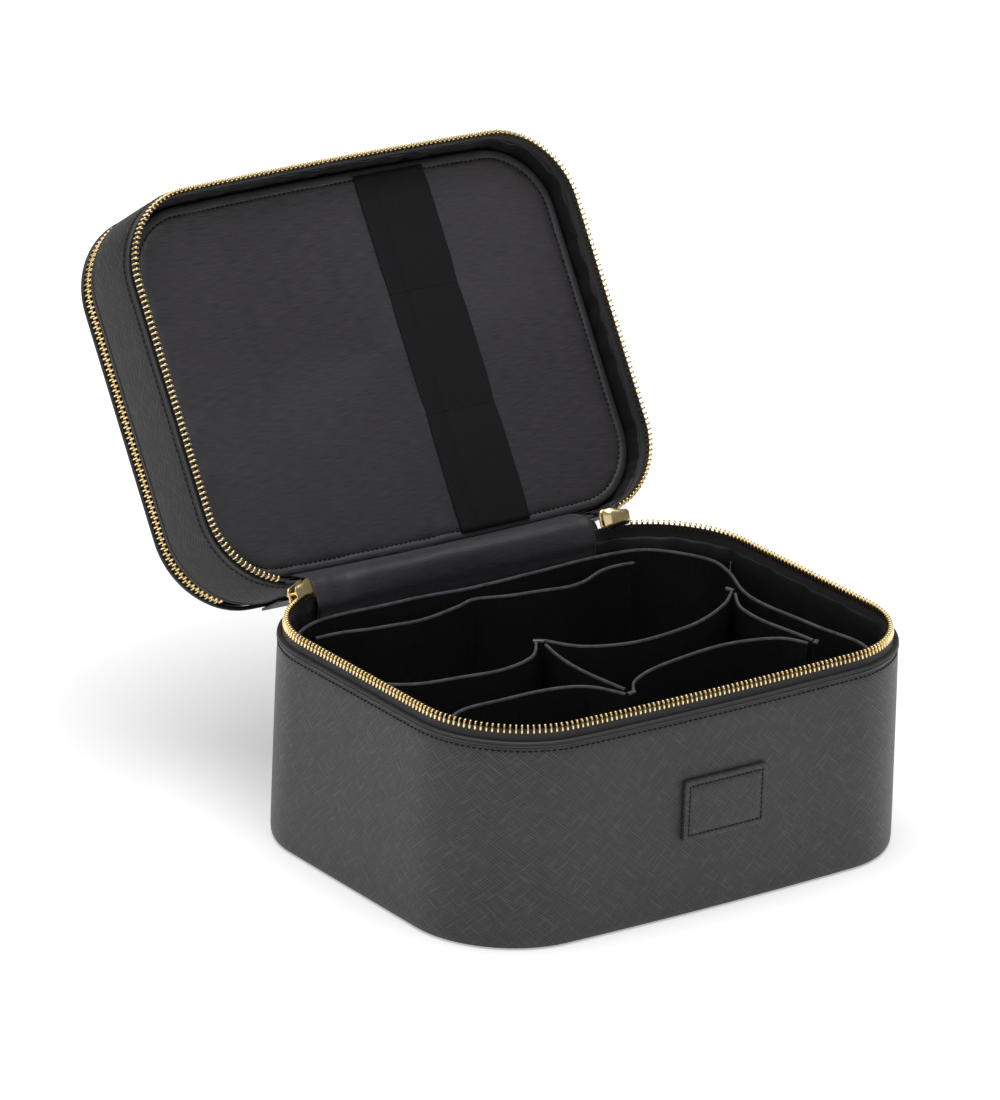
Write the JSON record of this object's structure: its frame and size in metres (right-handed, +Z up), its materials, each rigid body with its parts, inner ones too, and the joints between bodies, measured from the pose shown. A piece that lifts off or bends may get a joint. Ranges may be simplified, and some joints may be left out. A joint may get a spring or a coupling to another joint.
{
  "type": "makeup train case",
  "caption": "Zip-round makeup train case with a leather organiser and a two-storey lid that stands open past upright.",
  "frame": {"origin": "middle of the underside, on the plane it stands on", "axes": "+X to the right along the front, +Y to the back, where the lid is hinged, +Z up"},
  "size_m": [0.2506, 0.3608, 0.2618],
  "materials": {
    "crosshatch_leather": "black, pressed with a fine diagonal cross-hatch, soft sheen",
    "pebbled_leather": "black, small pebble grain, matt, with grey painted cut edges",
    "satin_lining": "dark purple-grey satin, fine weave, soft broad sheen",
    "elastic_webbing": "flat black elastic webbing with rolled edges",
    "zip_tape": "black woven herringbone tape",
    "pale_gold_metal": "polished pale gold plate",
    "grey_board": "plain grey pulp board, hidden inside"
  },
  "bodies": {
    "case": {"outer_wall": "crosshatch_leather", "base_panel": "crosshatch_leather", "base_board": "grey_board", "wall_board": "grey_board", "body_lining": "satin_lining", "rim_binding": "crosshatch_leather", "rim_tape": "zip_tape", "rim_teeth": "pale_gold_metal", "front_patch": "crosshatch_leather", "organiser_floor": "pebbled_leather", "organiser_wall": "pebbled_leather", "back_pockets": "pebbled_leather", "front_pocket": "pebbled_leather", "divider_rear_left": "pebbled_leather", "divider_rear_right": "pebbled_leather", "divider_centre": "pebbled_leather", "divider_right": "pebbled_leather", "divider_front_right": "pebbled_leather", "divider_front_left": "pebbled_leather", "hinge_leather_case": "crosshatch_leather", "hinge_lining_case": "satin_lining", "main_slider_left": "pale_gold_metal", "main_slider_right": "pale_gold_metal"},
    "lid": {"lid_teeth": "pale_gold_metal", "lid_tape": "zip_tape", "lid_binding": "crosshatch_leather", "lid_band": "crosshatch_leather", "lid_band_board": "grey_board", "lid_gusset": "satin_lining", "lid_outer_binding": "crosshatch_leather", "lid_outer_tape": "zip_tape", "lid_outer_teeth": "pale_gold_metal", "lid_panel": "satin_lining", "lid_panel_board": "grey_board", "compartment_lining": "satin_lining", "brush_strap": "elastic_webbing", "hinge_leather_lid": "crosshatch_leather", "hinge_lining_lid": "satin_lining", "cover_hinge_lid_side": "crosshatch_leather"},
    "cover": {"cover_teeth": "pale_gold_metal", "cover_tape": "zip_tape", "cover_binding": "crosshatch_leather", "cover_panel": "crosshatch_leather", "cover_board": "grey_board", "cover_lining": "satin_lining", "cover_hinge_cover_side": "crosshatch_leather", "handle_bracket_left": "pale_gold_metal", "handle_bracket_right": "pale_gold_metal"},
    "handle": {"handle": "crosshatch_leather"},
    "main_pull_left": {"main_pull_left": "pale_gold_metal"},
    "main_pull_right": {"main_pull_right": "pale_gold_metal"},
    "upper_slider_left": {"upper_slider_left": "pale_gold_metal"},
    "upper_slider_right": {"upper_slider_right": "pale_gold_metal"},
    "upper_pull_left": {"upper_pull_left": "pale_gold_metal"},
    "upper_pull_right": {"upper_pull_right": "pale_gold_metal"}
  },
  "joints": [
    {"name": "lid_hinge", "type": "hinge", "parent": "case", "child": "lid", "pos_m": [0, 0.0971, 0.1022], "axis": [1, 0, 0], "range_deg": [0, 123.06]},
    {"name": "cover_hinge", "type": "hinge", "parent": "lid", "child": "cover", "pos_m": [0, 0.13746, 0.0776], "axis": [-1, 0, 0], "range_deg": [0, 75]},
    {"name": "handle_swing", "type": "hinge", "parent": "cover", "child": "handle", "pos_m": [0, 0.20019, 0.15096], "axis": [1, 0, 0], "range_deg": [-22, 136]},
    {"name": "main_pull_left_swing", "type": "hinge", "parent": "case", "child": "main_pull_left", "pos_m": [-0.09507, 0.09478, 0.1023], "axis": [0.9272, 0.3746, 0], "range_deg": [0, 30]},
    {"name": "main_pull_right_swing", "type": "hinge", "parent": "case", "child": "main_pull_right", "pos_m": [0.08379, 0.09841, 0.1023], "axis": [0.9882, -0.153, 0], "range_deg": [0, 30]},
    {"name": "upper_slider_left_slide", "type": "slide", "parent": "lid", "child": "upper_slider_left", "axis": [-1, 0, 0], "range_m": [0, 0.05]},
    {"name": "upper_slider_right_slide", "type": "slide", "parent": "lid", "child": "upper_slider_right", "axis": [1, 0, 0], "range_m": [0, 0.05]},
    {"name": "upper_pull_left_swing", "type": "hinge", "parent": "upper_slider_left", "child": "upper_pull_left", "pos_m": [-0.009, 0.24344, 0.24051], "axis": [1, 0, 0], "range_deg": [0, 165]},
    {"name": "upper_pull_right_swing", "type": "hinge", "parent": "upper_slider_right", "child": "upper_pull_right", "pos_m": [0.009, 0.24344, 0.24051], "axis": [1, 0, 0], "range_deg": [0, 165]}
  ]
}
